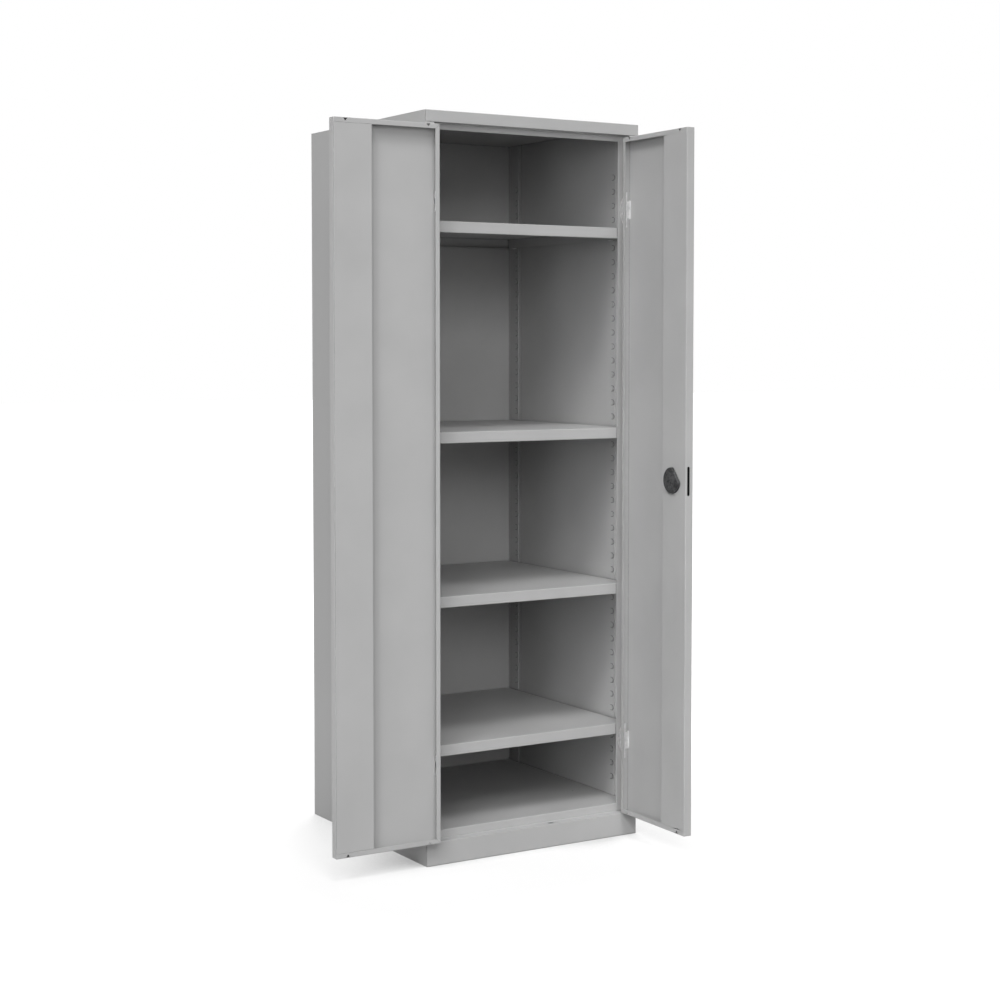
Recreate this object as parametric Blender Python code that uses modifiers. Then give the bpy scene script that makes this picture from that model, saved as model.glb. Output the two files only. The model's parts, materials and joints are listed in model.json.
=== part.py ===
"""Two-door steel filing cabinet with four adjustable shelves and a rod lock.

The carcass and the doors are folded from sheet steel. Metres, +Z up, the doors face -Y.
The origin is on the ground, in the middle of the plinth's turned-in foot flange.
"""

import math

import bmesh
import bpy
from mathutils import Matrix, Vector

# Overall size and sheet
WIDTH = 0.680
DEPTH = 0.680
HEIGHT = 2.000
SHEET = 0.001
BEND = 0.0015
GAP = 0.0003
OVERRUN = 0.002

# Carcass: front posts, door stops, cap, plinth and floor
POST_FACE = 0.027
STOP_SETBACK = 0.026
STOP_WIDTH = 0.023
REAR_FLANGE = 0.020
BACK_FLANGE = 0.012
BACK_RAISE = 0.005
CAP_BAND = 0.031
HEADER_DROP = 0.016
PLINTH_HEIGHT = 0.064
SILL_STEP = 0.023
FOOT_FLANGE = 0.020
FLOOR_REAR_FLANGE = 0.018
BASE_RAIL_FLANGE = 0.025
FLOOR_HOLE_RADIUS = 0.004
FLOOR_HOLE_INSET = 0.073
FLOOR_HOLE_SETBACK = 0.214

# Perforated shelf rails
RAIL_FACE = 0.036
RAIL_DEPTH = 0.0025
RAIL_BEND = 0.0006
RAIL_FOOT = 0.010
FRONT_RAIL_SETBACK = 0.1194
SLOT_PITCH = 0.040
SLOT_FIRST = 0.142
SLOT_TOP_ROOM = 0.125
SLOT_WIDTH = 0.016
SLOT_HEIGHT = 0.017
SLOT_FORWARD = 0.0074
SLOT_NECK = 0.010
SLOT_SHOULDER = 0.0055
SLOT_MITRE_SHARE = 0.42

# Shelves and their clips
SHELF_HEIGHT_SHARES = (0.15, 0.35, 0.57, 0.85)
SHELF_RISE = 0.012
SHELF_THICKNESS = 0.030
SHELF_RETURN = 0.012
SHELF_SIDE_GAP = 0.003
SHELF_FRONT_GAP = 0.003
SHELF_BACK_GAP = 0.004
CLIP_STEEL = 0.0015
CLIP_WIDTH = 0.008
CLIP_LEDGE = 0.013
CLIP_HOOK = 0.005

# Doors
DOOR_THICKNESS = 0.024
DOOR_SIDE_GAP = 0.0025
DOOR_FOOT_GAP = 0.003
DOOR_HEAD_GAP = 0.008
DOOR_CENTRE_GAP = 0.003
LIP = 0.013
MITRE_SLIT = 0.0006
NOTCH_WIDTH = 0.011
NOTCH_DEPTH = 0.0075
NOTCH_INSET = 0.034
STIFFENER_WIDTH = 0.110
STIFFENER_FOOT = 0.010
STIFFENER_TAIL = 0.005
HANGING_SLOT_LENGTH = 0.026
HANGING_SLOT_HEIGHT = 0.002
HANGING_SLOT_INSET = 0.019
LEFT_OPEN = math.radians(180)
RIGHT_OPEN = math.radians(88)

# Hinges
PIVOT_PROUD = 0.002
PIVOT_OFFSET = 0.001
HINGE_FROM_FOOT = 0.204
HINGE_FROM_HEAD = 0.199
HINGE_STEEL = 0.0012
KNUCKLE_RADIUS = 0.004
PIN_PLAY = 0.0004
PIN_HEAD_RADIUS = 0.0036
PIN_HEAD_HEIGHT = 0.002
BARREL_HEIGHT = 0.048
DOOR_KNUCKLE_HEIGHT = 0.016
LEAF_HEIGHT = 0.098
LEAF_REACH = 0.016
LEAF_BEHIND = 0.036
FRAME_CURL_START = math.radians(120)
FRAME_CURL_END = math.radians(400)
DOOR_CURL_END = math.radians(-260)
DOOR_LEAF_DEPTH = 0.014
DOOR_WING_DEPTH = 0.004
HINGE_END_ROOM = 0.003
HINGE_NOTCH_DEPTH = 0.0045
HINGE_NOTCH_WIDTH = 0.0065

# Rod lock in the right door
LOCK_HEIGHT = 1.023
LOCK_FROM_EDGE = 0.058
ROD_RADIUS = 0.004
ROD_RETRACT = 0.0005
ROD_HOLE_LENGTH = 0.018
ROD_HOLE_WIDTH = 0.014
CRANK = 0.010
CRANK_PIN_RADIUS = 0.002
FORK_PLAY = 0.0005
FORK_WALL = 0.003
FORK_THICKNESS = 0.003
FORK_REACH = 0.0165
ARM_WIDTH = 0.0035
WEB_LOW = 0.016
WEB_HEIGHT = 0.008
CAM_THICKNESS = 0.003
CAM_RIM = 0.002
SPINDLE = 0.008
SPINDLE_PLAY = 0.0003
SKIN_HOLE_RADIUS = 0.009
GUIDE_RADIUS = 0.009
GUIDE_NECK_RADIUS = 0.0065
GUIDE_HEIGHT = 0.005
LATCH_SLOT_HEIGHT = 0.079
LATCH_SLOT_WIDTH = 0.008
LATCH_SLOT_SETBACK = 0.0057
COVER_RADIUS = 0.035
COVER_HEIGHT = 0.008
COVER_FLAT = 0.024
COVER_FLAT_TURN = math.radians(40)
SERVICE_HOLE_RADIUS = 0.022
ROSETTE_RADIUS = 0.030
ROSETTE_HEIGHT = 0.005
NECK_RADIUS = 0.012
NECK_HEIGHT = 0.010
GRIP_LENGTH = 0.116
GRIP_WIDTH = 0.027
GRIP_HEIGHT = 0.015
GRIP_ROUND = 0.004
SLEEVE_RADIUS = 0.0095
SLEEVE_PROUD = 0.0015
SLEEVE_DEPTH = 0.010
PLUG_RADIUS = 0.0063
KEY_SLOT_LENGTH = 0.0078
KEY_SLOT_WIDTH = 0.0016
KEY_SLOT_DEPTH = 0.004

# Levels and planes that several pieces share
FRONT = -FOOT_FLANGE / 2
BACK = FRONT + DEPTH
HALF = WIDTH / 2
CORNER_DEPTH = SHEET + BEND
SLOT_CUT = CLIP_STEEL + 2 * GAP
SLOT_COUNT = 1 + int((HEIGHT - SLOT_TOP_ROOM - SLOT_FIRST) / SLOT_PITCH)
SHELF_SLOTS = [
    round((share * HEIGHT - SLOT_FIRST) / SLOT_PITCH) for share in SHELF_HEIGHT_SHARES
]
STOP_PLANE = FRONT + STOP_SETBACK
OPENING_HALF = HALF - POST_FACE
STOP_EDGE = OPENING_HALF - STOP_WIDTH
INNER_HALF = HALF - SHEET - GAP
OPENING_TOP = HEIGHT - CAP_BAND
FLOOR_LEVEL = PLINTH_HEIGHT + SILL_STEP
BACK_FACE = BACK - SHEET - GAP
REAR_LIMIT = BACK_FACE - SHEET - GAP
BACK_FLANGE_INNER = INNER_HALF - SHEET - GAP
RAIL_SURFACE = INNER_HALF - SHEET - RAIL_DEPTH
FRONT_RAIL_Y = FRONT + FRONT_RAIL_SETBACK
REAR_RAIL_Y = BACK_FACE - BACK_FLANGE - GAP - RAIL_FOOT - RAIL_FACE / 2
SHELF_HALF = RAIL_SURFACE - SHELF_SIDE_GAP
SHELF_FRONT = STOP_PLANE + SHEET + SHELF_FRONT_GAP
SHELF_BACK = REAR_LIMIT - SHELF_BACK_GAP
DOOR_BOTTOM = PLINTH_HEIGHT + DOOR_FOOT_GAP
DOOR_TOP = OPENING_TOP - DOOR_HEAD_GAP
PIVOT_HALF = OPENING_HALF - PIVOT_OFFSET
PIVOT_Y = FRONT - PIVOT_PROUD
DOOR_NEAR = DOOR_SIDE_GAP - PIVOT_OFFSET
DOOR_FAR = PIVOT_HALF - DOOR_CENTRE_GAP / 2
HUB = DOOR_FAR - LOCK_FROM_EDGE
ROD_Y = DOOR_THICKNESS / 2
FORK_Y = ROD_Y - FORK_THICKNESS / 2
CAM_Y = ROD_Y + FORK_THICKNESS / 2 + GAP
CRANK_REST = CRANK / math.sqrt(2)
FORK_NEAR = SPINDLE / math.sqrt(2) + FORK_PLAY
CAM_RADIUS = CRANK + CRANK_PIN_RADIUS + CAM_RIM
HINGE_LEVELS = {"lower": DOOR_BOTTOM + HINGE_FROM_FOOT, "upper": DOOR_TOP - HINGE_FROM_HEAD}


def clear_scene():
    for item in list(bpy.data.objects):
        bpy.data.objects.remove(item)


def new_collection(name):
    made = bpy.data.collections.new(name)
    bpy.context.scene.collection.children.link(made)
    return made


def new_material(name, colour, roughness, metallic=0.0):
    made = bpy.data.materials.new(name)
    made.use_nodes = True
    shader = made.node_tree.nodes["Principled BSDF"]
    shader.inputs["Base Color"].default_value = (*colour, 1.0)
    shader.inputs["Roughness"].default_value = roughness
    shader.inputs["Metallic"].default_value = metallic
    return made


def object_from(bm, name, collection, parent=None):
    mesh = bpy.data.meshes.new(name)
    bm.to_mesh(mesh)
    bm.free()
    made = bpy.data.objects.new(name, mesh)
    collection.objects.link(made)
    made.parent = parent
    return made


def piece(bm, name, material, parent=None, smooth=False):
    """One named part of the cabinet."""
    made = object_from(bm, name, PARTS, parent)
    made.data.materials.append(material)
    if smooth:
        made.data.shade_smooth()
        made.data.set_sharp_from_angle(angle=math.radians(35))
    return made


def combine(target, bm, operation="DIFFERENCE"):
    """Cut a shape from a part, join it on or keep what they share; both are drawn in the same frame."""
    tool = object_from(bm, target.name + "_tool", CUTTERS, target.parent)
    tool.hide_render = True
    tool.display_type = "WIRE"
    change = target.modifiers.new(operation.lower(), "BOOLEAN")
    change.operation = operation
    change.solver = "EXACT"
    change.object = tool
    return tool


def round_edges(target, width, segments=2):
    bevel = target.modifiers.new("round", "BEVEL")
    bevel.width = width
    bevel.segments = segments
    bevel.limit_method = "ANGLE"
    bevel.angle_limit = math.radians(40)
    return bevel


def box(low, high):
    bm = bmesh.new()
    low, high = Vector(low), Vector(high)
    bmesh.ops.create_cube(bm, size=1.0)
    bmesh.ops.transform(
        bm, matrix=Matrix.LocRotScale((low + high) / 2, None, high - low), verts=bm.verts
    )
    return bm


def side_box(side, near, far, y_low, y_high, z_low, z_high):
    """A box on one side of the middle: near and far are distances from it, side is -1 or 1."""
    low, high = sorted((side * near, side * far))
    return box((low, y_low, z_low), (high, y_high, z_high))


def cylinder(radius, start, end, segments=16):
    bm = bmesh.new()
    start, end = Vector(start), Vector(end)
    axis = end - start
    bmesh.ops.create_cone(
        bm, cap_ends=True, segments=segments, radius1=radius, radius2=radius, depth=axis.length
    )
    turn = Vector((0, 0, 1)).rotation_difference(axis)
    bmesh.ops.transform(bm, matrix=Matrix.LocRotScale((start + end) / 2, turn, None), verts=bm.verts)
    return bm


def arc(radius, start, end, steps):
    """Points on a circle about zero, from one angle to another."""
    turn = (end - start) / steps
    return [
        (radius * math.cos(start + turn * step), radius * math.sin(start + turn * step))
        for step in range(steps + 1)
    ]


def prism(points, run):
    """A flat outline given thickness along run."""
    bm = bmesh.new()
    face = bm.faces.new([bm.verts.new(point) for point in points])
    made = bmesh.ops.extrude_face_region(bm, geom=[face])["geom"]
    moved = [item for item in made if isinstance(item, bmesh.types.BMVert)]
    bmesh.ops.translate(bm, verts=moved, vec=run)
    bmesh.ops.recalc_face_normals(bm, faces=bm.faces)
    return bm


def stadium(length, width, steps):
    """Flat outline with round ends, its length along the first axis."""
    straight = (length - width) / 2
    points = []
    for sign in (1, -1):
        for along, across in arc(width / 2, -math.pi / 2, math.pi / 2, steps):
            points.append((sign * (straight + along), sign * across))
    return points


def fold(points, run, outward):
    """An open sheet: its fold line runs through points and is drawn out along run.

    outward is the way the first leg's finished side faces.
    """
    bm = bmesh.new()
    verts = [bm.verts.new(point) for point in points]
    edges = [bm.edges.new(pair) for pair in zip(verts, verts[1:])]
    made = bmesh.ops.extrude_edge_only(bm, edges=edges)["geom"]
    moved = [item for item in made if isinstance(item, bmesh.types.BMVert)]
    bmesh.ops.translate(bm, verts=moved, vec=run)
    bmesh.ops.recalc_face_normals(bm, faces=bm.faces)
    middle = (Vector(points[0]) + Vector(points[1]) + Vector(run)) / 2
    first = min(bm.faces, key=lambda face: (face.calc_center_median() - middle).length)
    if first.normal.dot(Vector(outward)) < 0:
        bmesh.ops.reverse_faces(bm, faces=bm.faces)
    return bm


def sheet_piece(bm, name, material, parent=None, thickness=SHEET, bend=BEND, smooth=False):
    """A folded sheet with rounded bends; its thickness lies behind the finished side."""
    made = piece(bm, name, material, parent, smooth)
    round_edges(made, bend)
    shell = made.modifiers.new("sheet", "SOLIDIFY")
    shell.thickness = thickness
    shell.offset = -1.0
    shell.use_even_offset = True
    shell.use_quality_normals = True
    return made


def side_panel(side, name):
    """Side wall, front post and door stop in one folded sheet, with a turned-in rear flange."""
    points = [
        (side * (HALF - REAR_FLANGE), BACK, 0),
        (side * HALF, BACK, 0),
        (side * HALF, FRONT, 0),
        (side * OPENING_HALF, FRONT, 0),
        (side * OPENING_HALF, STOP_PLANE, 0),
        (side * STOP_EDGE, STOP_PLANE, 0),
    ]
    panel = sheet_piece(
        fold(points, (0, 0, HEIGHT - SHEET - GAP), (0, 1, 0)), name, POWDER_COAT
    )
    behind_stop = STOP_PLANE + SHEET + OVERRUN
    for low, high in ((-OVERRUN, PLINTH_HEIGHT + GAP), (OPENING_TOP - GAP, HEIGHT + OVERRUN)):
        combine(panel, side_box(
            side, STOP_EDGE - OVERRUN, HALF + OVERRUN, FRONT - OVERRUN, FRONT + CORNER_DEPTH + GAP, low, high
        ))
        combine(panel, side_box(
            side, STOP_EDGE - OVERRUN, INNER_HALF - BEND, FRONT - OVERRUN, behind_stop, low, high
        ))
    for level in HINGE_LEVELS.values():
        half = BARREL_HEIGHT / 2 + HINGE_END_ROOM
        combine(panel, side_box(
            side, OPENING_HALF - OVERRUN, PIVOT_HALF + KNUCKLE_RADIUS + GAP, FRONT - OVERRUN,
            FRONT + HINGE_NOTCH_DEPTH, level - half, level + half
        ))
    return panel


def rod_slot(x, level):
    """The hole that a lock rod enters, drawn through the sheet at a level: a slot with round ends."""
    points = [
        (x + along, FRONT + ROD_Y + across, level - SHEET - OVERRUN)
        for along, across in stadium(ROD_HOLE_LENGTH, ROD_HOLE_WIDTH, 6)
    ]
    return prism(points, (0, 0, SHEET + 2 * OVERRUN))


def top_cap():
    """Top deck with its front band, the return under it and the header stop, in one folded sheet."""
    points = [
        (-HALF, BACK, HEIGHT - REAR_FLANGE),
        (-HALF, BACK, HEIGHT),
        (-HALF, FRONT, HEIGHT),
        (-HALF, FRONT, OPENING_TOP),
        (-HALF, STOP_PLANE, OPENING_TOP),
        (-HALF, STOP_PLANE, OPENING_TOP - HEADER_DROP),
    ]
    cap = sheet_piece(fold(points, (WIDTH, 0, 0), (0, 1, 0)), "top_cap", POWDER_COAT)
    under_deck = HEIGHT - SHEET - GAP / 2
    for side in (-1, 1):
        combine(cap, side_box(
            side, INNER_HALF, HALF + OVERRUN, FRONT + CORNER_DEPTH, BACK + OVERRUN,
            OPENING_TOP - HEADER_DROP - OVERRUN, under_deck
        ))
        combine(cap, side_box(
            side, STOP_EDGE - GAP, HALF + OVERRUN, FRONT - OVERRUN, STOP_PLANE + SHEET + BEND + OVERRUN,
            OPENING_TOP - HEADER_DROP - OVERRUN, OPENING_TOP - GAP / 2
        ))
        combine(cap, side_box(
            side, HALF - REAR_FLANGE - GAP, HALF + OVERRUN, BACK - SHEET - OVERRUN, BACK + OVERRUN,
            HEIGHT - REAR_FLANGE - OVERRUN, under_deck
        ))
    combine(cap, rod_slot(PIVOT_HALF - HUB, OPENING_TOP + SHEET))
    return cap


def bottom_panel():
    """Floor, sill and plinth front in one folded sheet, with a foot flange on the ground."""
    points = [
        (-HALF, REAR_LIMIT, FLOOR_LEVEL - FLOOR_REAR_FLANGE),
        (-HALF, REAR_LIMIT, FLOOR_LEVEL),
        (-HALF, STOP_PLANE, FLOOR_LEVEL),
        (-HALF, STOP_PLANE, PLINTH_HEIGHT),
        (-HALF, FRONT, PLINTH_HEIGHT),
        (-HALF, FRONT, 0),
        (-HALF, FRONT + FOOT_FLANGE, 0),
    ]
    panel = sheet_piece(fold(points, (WIDTH, 0, 0), (0, 1, 0)), "bottom_panel", POWDER_COAT)
    for side in (-1, 1):
        combine(panel, side_box(
            side, INNER_HALF, HALF + OVERRUN, FRONT + CORNER_DEPTH, BACK + OVERRUN,
            -OVERRUN, FLOOR_LEVEL + OVERRUN
        ))
        combine(panel, side_box(
            side, STOP_EDGE - GAP, HALF + OVERRUN, FRONT - OVERRUN, STOP_PLANE + SHEET + GAP,
            PLINTH_HEIGHT + GAP / 2, FLOOR_LEVEL + OVERRUN
        ))
        combine(panel, side_box(
            side, BACK_FLANGE_INNER, HALF + OVERRUN, BACK_FACE - BACK_FLANGE - GAP, BACK + OVERRUN,
            FLOOR_LEVEL - FLOOR_REAR_FLANGE - OVERRUN, FLOOR_LEVEL + OVERRUN
        ))
        hole = Vector((side * (HALF - FLOOR_HOLE_INSET), FRONT + FLOOR_HOLE_SETBACK, FLOOR_LEVEL))
        reach = Vector((0, 0, SHEET + OVERRUN))
        combine(panel, cylinder(FLOOR_HOLE_RADIUS, hole - reach, hole + reach, 10))
    combine(panel, rod_slot(PIVOT_HALF - HUB, PLINTH_HEIGHT))
    return panel


def rear_base_rail():
    """Channel that carries the floor's rear edge and stands on the ground."""
    y = REAR_LIMIT - SHEET - GAP
    top = FLOOR_LEVEL - SHEET - GAP
    points = [
        (-BACK_FLANGE_INNER, y - BASE_RAIL_FLANGE, top),
        (-BACK_FLANGE_INNER, y, top),
        (-BACK_FLANGE_INNER, y, 0),
        (-BACK_FLANGE_INNER, y - BASE_RAIL_FLANGE, 0),
    ]
    run = (2 * BACK_FLANGE_INNER, 0, 0)
    return sheet_piece(fold(points, run, (0, 0, 1)), "rear_base_rail", POWDER_COAT)


def back_panel():
    """Back wall with its side edges folded forward against the side walls."""
    points = [
        (-INNER_HALF, BACK_FACE - BACK_FLANGE, BACK_RAISE),
        (-INNER_HALF, BACK_FACE, BACK_RAISE),
        (INNER_HALF, BACK_FACE, BACK_RAISE),
        (INNER_HALF, BACK_FACE - BACK_FLANGE, BACK_RAISE),
    ]
    run = (0, 0, HEIGHT - SHEET - GAP - BACK_RAISE)
    return sheet_piece(fold(points, run, (-1, 0, 0)), "back_panel", POWDER_COAT)


def slot_outline(x, y, z):
    """One lanced slot: a narrow cut round a tongue, which stays joined on at the rear."""
    rear = y + SLOT_WIDTH / 2

    def limb(cut):
        ease = SLOT_MITRE_SHARE * cut
        height = SLOT_HEIGHT / 2 - cut
        shoulder = rear - SLOT_NECK + ease
        corner = SLOT_HEIGHT / 2 - SLOT_SHOULDER - ease
        return [(rear, height), (shoulder, height), (rear - SLOT_WIDTH + cut, corner)]

    outer, inner = limb(0), limb(SLOT_CUT)
    points = outer + [(a, -b) for a, b in reversed(outer)]
    points += [(a, -b) for a, b in inner] + list(reversed(inner))
    return [(x, a, z + b) for a, b in points]


def shelf_rail(side, y, name):
    """Perforated hat-section rail on the side wall."""
    wall = INNER_HALF - SHEET
    half = RAIL_FACE / 2
    low, high = FLOOR_LEVEL + GAP, HEIGHT - SHEET - GAP
    points = [
        (side * wall, y - half - RAIL_FOOT, low),
        (side * wall, y - half, low),
        (side * RAIL_SURFACE, y - half, low),
        (side * RAIL_SURFACE, y + half, low),
        (side * wall, y + half, low),
        (side * wall, y + half + RAIL_FOOT, low),
    ]
    rail = sheet_piece(
        fold(points, (0, 0, high - low), (-side, 0, 0)), name, POWDER_COAT, bend=RAIL_BEND
    )
    slots = bmesh.new()
    start = side * (RAIL_SURFACE - OVERRUN)
    for index in range(SLOT_COUNT):
        one = prism(
            slot_outline(start, y - SLOT_FORWARD, SLOT_FIRST + index * SLOT_PITCH),
            (side * (SHEET + 2 * OVERRUN), 0, 0),
        )
        mesh = bpy.data.meshes.new("slot")
        one.to_mesh(mesh)
        one.free()
        slots.from_mesh(mesh)
        bpy.data.meshes.remove(mesh)
    combine(rail, slots)
    return rail


def shelf_top(slot):
    return SLOT_FIRST + slot * SLOT_PITCH + SHELF_RISE


def shelf(slot, name):
    """A folded tray, open underneath, with a return along its front and rear edges."""
    top = shelf_top(slot)
    low = top - SHELF_THICKNESS
    tray = piece(box((-SHELF_HALF, SHELF_FRONT, low), (SHELF_HALF, SHELF_BACK, top)), name, POWDER_COAT)
    round_edges(tray, BEND)
    inner = SHELF_HALF - SHEET
    combine(tray, box(
        (-inner, SHELF_FRONT + SHEET, low + SHEET), (inner, SHELF_BACK - SHEET, top - SHEET)
    ))
    combine(tray, box(
        (-inner, SHELF_FRONT + SHELF_RETURN, low - OVERRUN),
        (inner, SHELF_BACK - SHELF_RETURN, low + SHEET + OVERRUN),
    ))
    return tray


def shelf_clip(side, y, slot, name):
    """Bent strip: its hook drops behind the rail's face and its ledge carries the shelf's edge."""
    level = SLOT_FIRST + slot * SLOT_PITCH
    ledge = shelf_top(slot) - SHELF_THICKNESS - GAP
    face = RAIL_SURFACE - GAP - CLIP_STEEL
    behind = RAIL_SURFACE + SHEET + GAP + CLIP_STEEL
    tab = level + SLOT_HEIGHT / 2 - GAP
    rear = y - SLOT_FORWARD + SLOT_WIDTH / 2 - GAP
    points = [
        (side * (face - CLIP_LEDGE), rear, ledge),
        (side * face, rear, ledge),
        (side * face, rear, tab),
        (side * behind, rear, tab),
        (side * behind, rear, tab - CLIP_HOOK),
    ]
    return sheet_piece(
        fold(points, (0, -CLIP_WIDTH, 0), (0, 0, 1)), name, ZINC, thickness=CLIP_STEEL, bend=CLIP_STEEL / 2
    )


def door_pivot(side, angle, name):
    pivot = bpy.data.objects.new(name, None)
    PARTS.objects.link(pivot)
    pivot.location = (side * PIVOT_HALF, PIVOT_Y, 0)
    pivot.rotation_euler = (0, 0, side * angle)
    return pivot


def door_box(side, near, far, y_low, y_high, z_low, z_high):
    """A box in a door's own frame: near and far are distances from the pivot, y from the outer face."""
    return side_box(-side, near, far, PIVOT_PROUD + y_low, PIVOT_PROUD + y_high, z_low, z_high)


def door_point(side, along, y, z):
    return Vector((-side * along, PIVOT_PROUD + y, z))


def mitre_slit(side, level, up):
    """The open joint between two lips, from their inner corner almost to the door's corner."""
    corner = door_point(side, DOOR_NEAR, DOOR_THICKNESS, level)
    diagonal = Vector((-side, 0, -up)).normalized()
    across = Vector((0, 1, 0)).cross(diagonal) * MITRE_SLIT / 2
    start = corner + diagonal * 2 * BEND
    end = corner + diagonal * (LIP + OVERRUN) * math.sqrt(2)
    drop = Vector((0, SHEET + OVERRUN, 0))
    points = [start - across - drop, end - across - drop, end + across - drop, start + across - drop]
    return prism(points, (0, SHEET + 2 * OVERRUN, 0))


def edge_notch(side, along, level, up):
    """A small V cut in the lip, its wide side at the door's edge."""
    y = DOOR_THICKNESS - SHEET - OVERRUN
    base = level - up * BEND
    points = [
        door_point(side, along - NOTCH_WIDTH / 2, y, base),
        door_point(side, along + NOTCH_WIDTH / 2, y, base),
        door_point(side, along, y, base - up * NOTCH_DEPTH),
    ]
    return prism(points, (0, SHEET + 2 * OVERRUN, 0))


def door_panel(side, pivot, name):
    """Door skin: a shallow tray with mitred lips round its back, open behind the free edge's stiffener."""
    skin = piece(
        door_box(side, DOOR_NEAR, DOOR_FAR, 0, DOOR_THICKNESS, DOOR_BOTTOM, DOOR_TOP),
        name, POWDER_COAT, pivot,
    )
    round_edges(skin, BEND)
    combine(skin, door_box(
        side, DOOR_NEAR + SHEET, DOOR_FAR - SHEET, SHEET, DOOR_THICKNESS - SHEET,
        DOOR_BOTTOM + SHEET, DOOR_TOP - SHEET,
    ))
    combine(skin, door_box(
        side, DOOR_NEAR + LIP, DOOR_FAR - SHEET, DOOR_THICKNESS - SHEET - OVERRUN, DOOR_THICKNESS + OVERRUN,
        DOOR_BOTTOM + LIP, DOOR_TOP - LIP,
    ))
    for level, up in ((DOOR_BOTTOM, -1), (DOOR_TOP, 1)):
        combine(skin, mitre_slit(side, level, up))
        for along in (DOOR_NEAR + NOTCH_INSET, DOOR_FAR - NOTCH_INSET):
            combine(skin, edge_notch(side, along, level, up))
    for level in HINGE_LEVELS.values():
        half = BARREL_HEIGHT / 2 + HINGE_END_ROOM
        combine(skin, door_box(
            side, DOOR_NEAR - OVERRUN, HINGE_NOTCH_WIDTH, -OVERRUN, HINGE_NOTCH_DEPTH,
            level - half, level + half
        ))
    return skin


def door_stiffener(side, pivot, name):
    """Channel along the free edge, its face flush with the lips."""
    foot = SHEET + GAP + SHEET
    near = DOOR_FAR - STIFFENER_WIDTH
    far = DOOR_FAR - SHEET - GAP
    low = DOOR_BOTTOM + LIP + GAP
    points = [
        door_point(side, near - STIFFENER_FOOT, foot, low),
        door_point(side, near, foot, low),
        door_point(side, near, DOOR_THICKNESS, low),
        door_point(side, far, DOOR_THICKNESS, low),
        door_point(side, far, DOOR_THICKNESS - STIFFENER_TAIL, low),
    ]
    run = (0, 0, DOOR_TOP - DOOR_BOTTOM - 2 * (LIP + GAP))
    return sheet_piece(fold(points, run, (0, 1, 0)), name, POWDER_COAT, pivot)


def frame_leaf(side, level, name):
    """Hinge half on the carcass: a plate on the stop with a curved edge, the leg along the post's return
    and two rolled knuckles."""
    plate_y = PIVOT_PROUD + STOP_SETBACK - GAP - HINGE_STEEL
    leg_x = PIVOT_OFFSET - GAP - HINGE_STEEL
    tangent_y = KNUCKLE_RADIUS + HINGE_STEEL
    flat = [(-LEAF_REACH, plate_y), (leg_x, plate_y), (leg_x, tangent_y)]
    flat += arc(KNUCKLE_RADIUS, FRAME_CURL_START, FRAME_CURL_END, 10)
    x, y, half = side * PIVOT_HALF, PIVOT_Y, LEAF_HEIGHT / 2
    points = [(x + side * px, y + py, level - half) for px, py in flat]
    leaf = sheet_piece(
        fold(points, (0, 0, LEAF_HEIGHT), (0, -1, 0)), name, ZINC,
        thickness=HINGE_STEEL, bend=HINGE_STEEL,
    )
    outline = []
    steps = 24
    for step in range(steps):
        angle = 2 * math.pi * step / steps
        outline.append((
            x + side * (LEAF_BEHIND - LEAF_REACH - LEAF_BEHIND * math.cos(angle)),
            y - KNUCKLE_RADIUS - OVERRUN,
            level + (half + KNUCKLE_RADIUS) * math.sin(angle),
        ))
    combine(leaf, prism(outline, (0, plate_y + HINGE_STEEL + KNUCKLE_RADIUS + 2 * OVERRUN, 0)), "INTERSECT")
    reach = KNUCKLE_RADIUS + OVERRUN / 2
    spans = (
        (BARREL_HEIGHT / 2, half + OVERRUN),
        (-DOOR_KNUCKLE_HEIGHT / 2, DOOR_KNUCKLE_HEIGHT / 2),
        (-half - OVERRUN, -BARREL_HEIGHT / 2),
    )
    for low, high in spans:
        combine(leaf, box(
            (x - reach, y - reach, level + low), (x + reach, y + tangent_y + GAP, level + high)
        ))
    return leaf


def door_leaf(side, level, pivot, name):
    """Hinge half in the door: it comes through the notch in the door's edge and lies inside the flange."""
    tip = PIVOT_PROUD + DOOR_LEAF_DEPTH
    flat = [(KNUCKLE_RADIUS, tip)] + arc(KNUCKLE_RADIUS, 0, DOOR_CURL_END, 9)
    half = LEAF_HEIGHT / 2
    points = [(-side * px, py, level - half) for px, py in flat]
    leaf = sheet_piece(
        fold(points, (0, 0, LEAF_HEIGHT), (-side, 0, 0)), name, ZINC, pivot,
        thickness=HINGE_STEEL, bend=HINGE_STEEL,
    )
    reach = KNUCKLE_RADIUS + OVERRUN / 2
    knuckle = DOOR_KNUCKLE_HEIGHT / 2 - GAP
    barrel = BARREL_HEIGHT / 2 - GAP
    wing = tip - DOOR_WING_DEPTH
    for sign in (-1, 1):
        ends = sorted((sign * knuckle, sign * (half + OVERRUN)))
        combine(leaf, box(
            (-reach, -reach, level + ends[0]), (reach, KNUCKLE_RADIUS + HINGE_STEEL, level + ends[1])
        ))
        ends = sorted((sign * barrel, sign * (half + OVERRUN)))
        combine(leaf, box((-reach, -reach, level + ends[0]), (reach, wing, level + ends[1])))
    return leaf


def hinge_pin(side, level, name):
    x, y = side * PIVOT_HALF, PIVOT_Y
    top = level + BARREL_HEIGHT / 2 + GAP
    radius = KNUCKLE_RADIUS - HINGE_STEEL - PIN_PLAY
    pin = piece(
        cylinder(radius, (x, y, level - BARREL_HEIGHT / 2), (x, y, top + PIN_HEAD_HEIGHT / 2), 12),
        name, ZINC, smooth=True,
    )
    combine(pin, cylinder(PIN_HEAD_RADIUS, (x, y, top), (x, y, top + PIN_HEAD_HEIGHT), 12), "UNION")
    round_edges(pin, PIN_HEAD_HEIGHT / 4, 1)
    return pin


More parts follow.
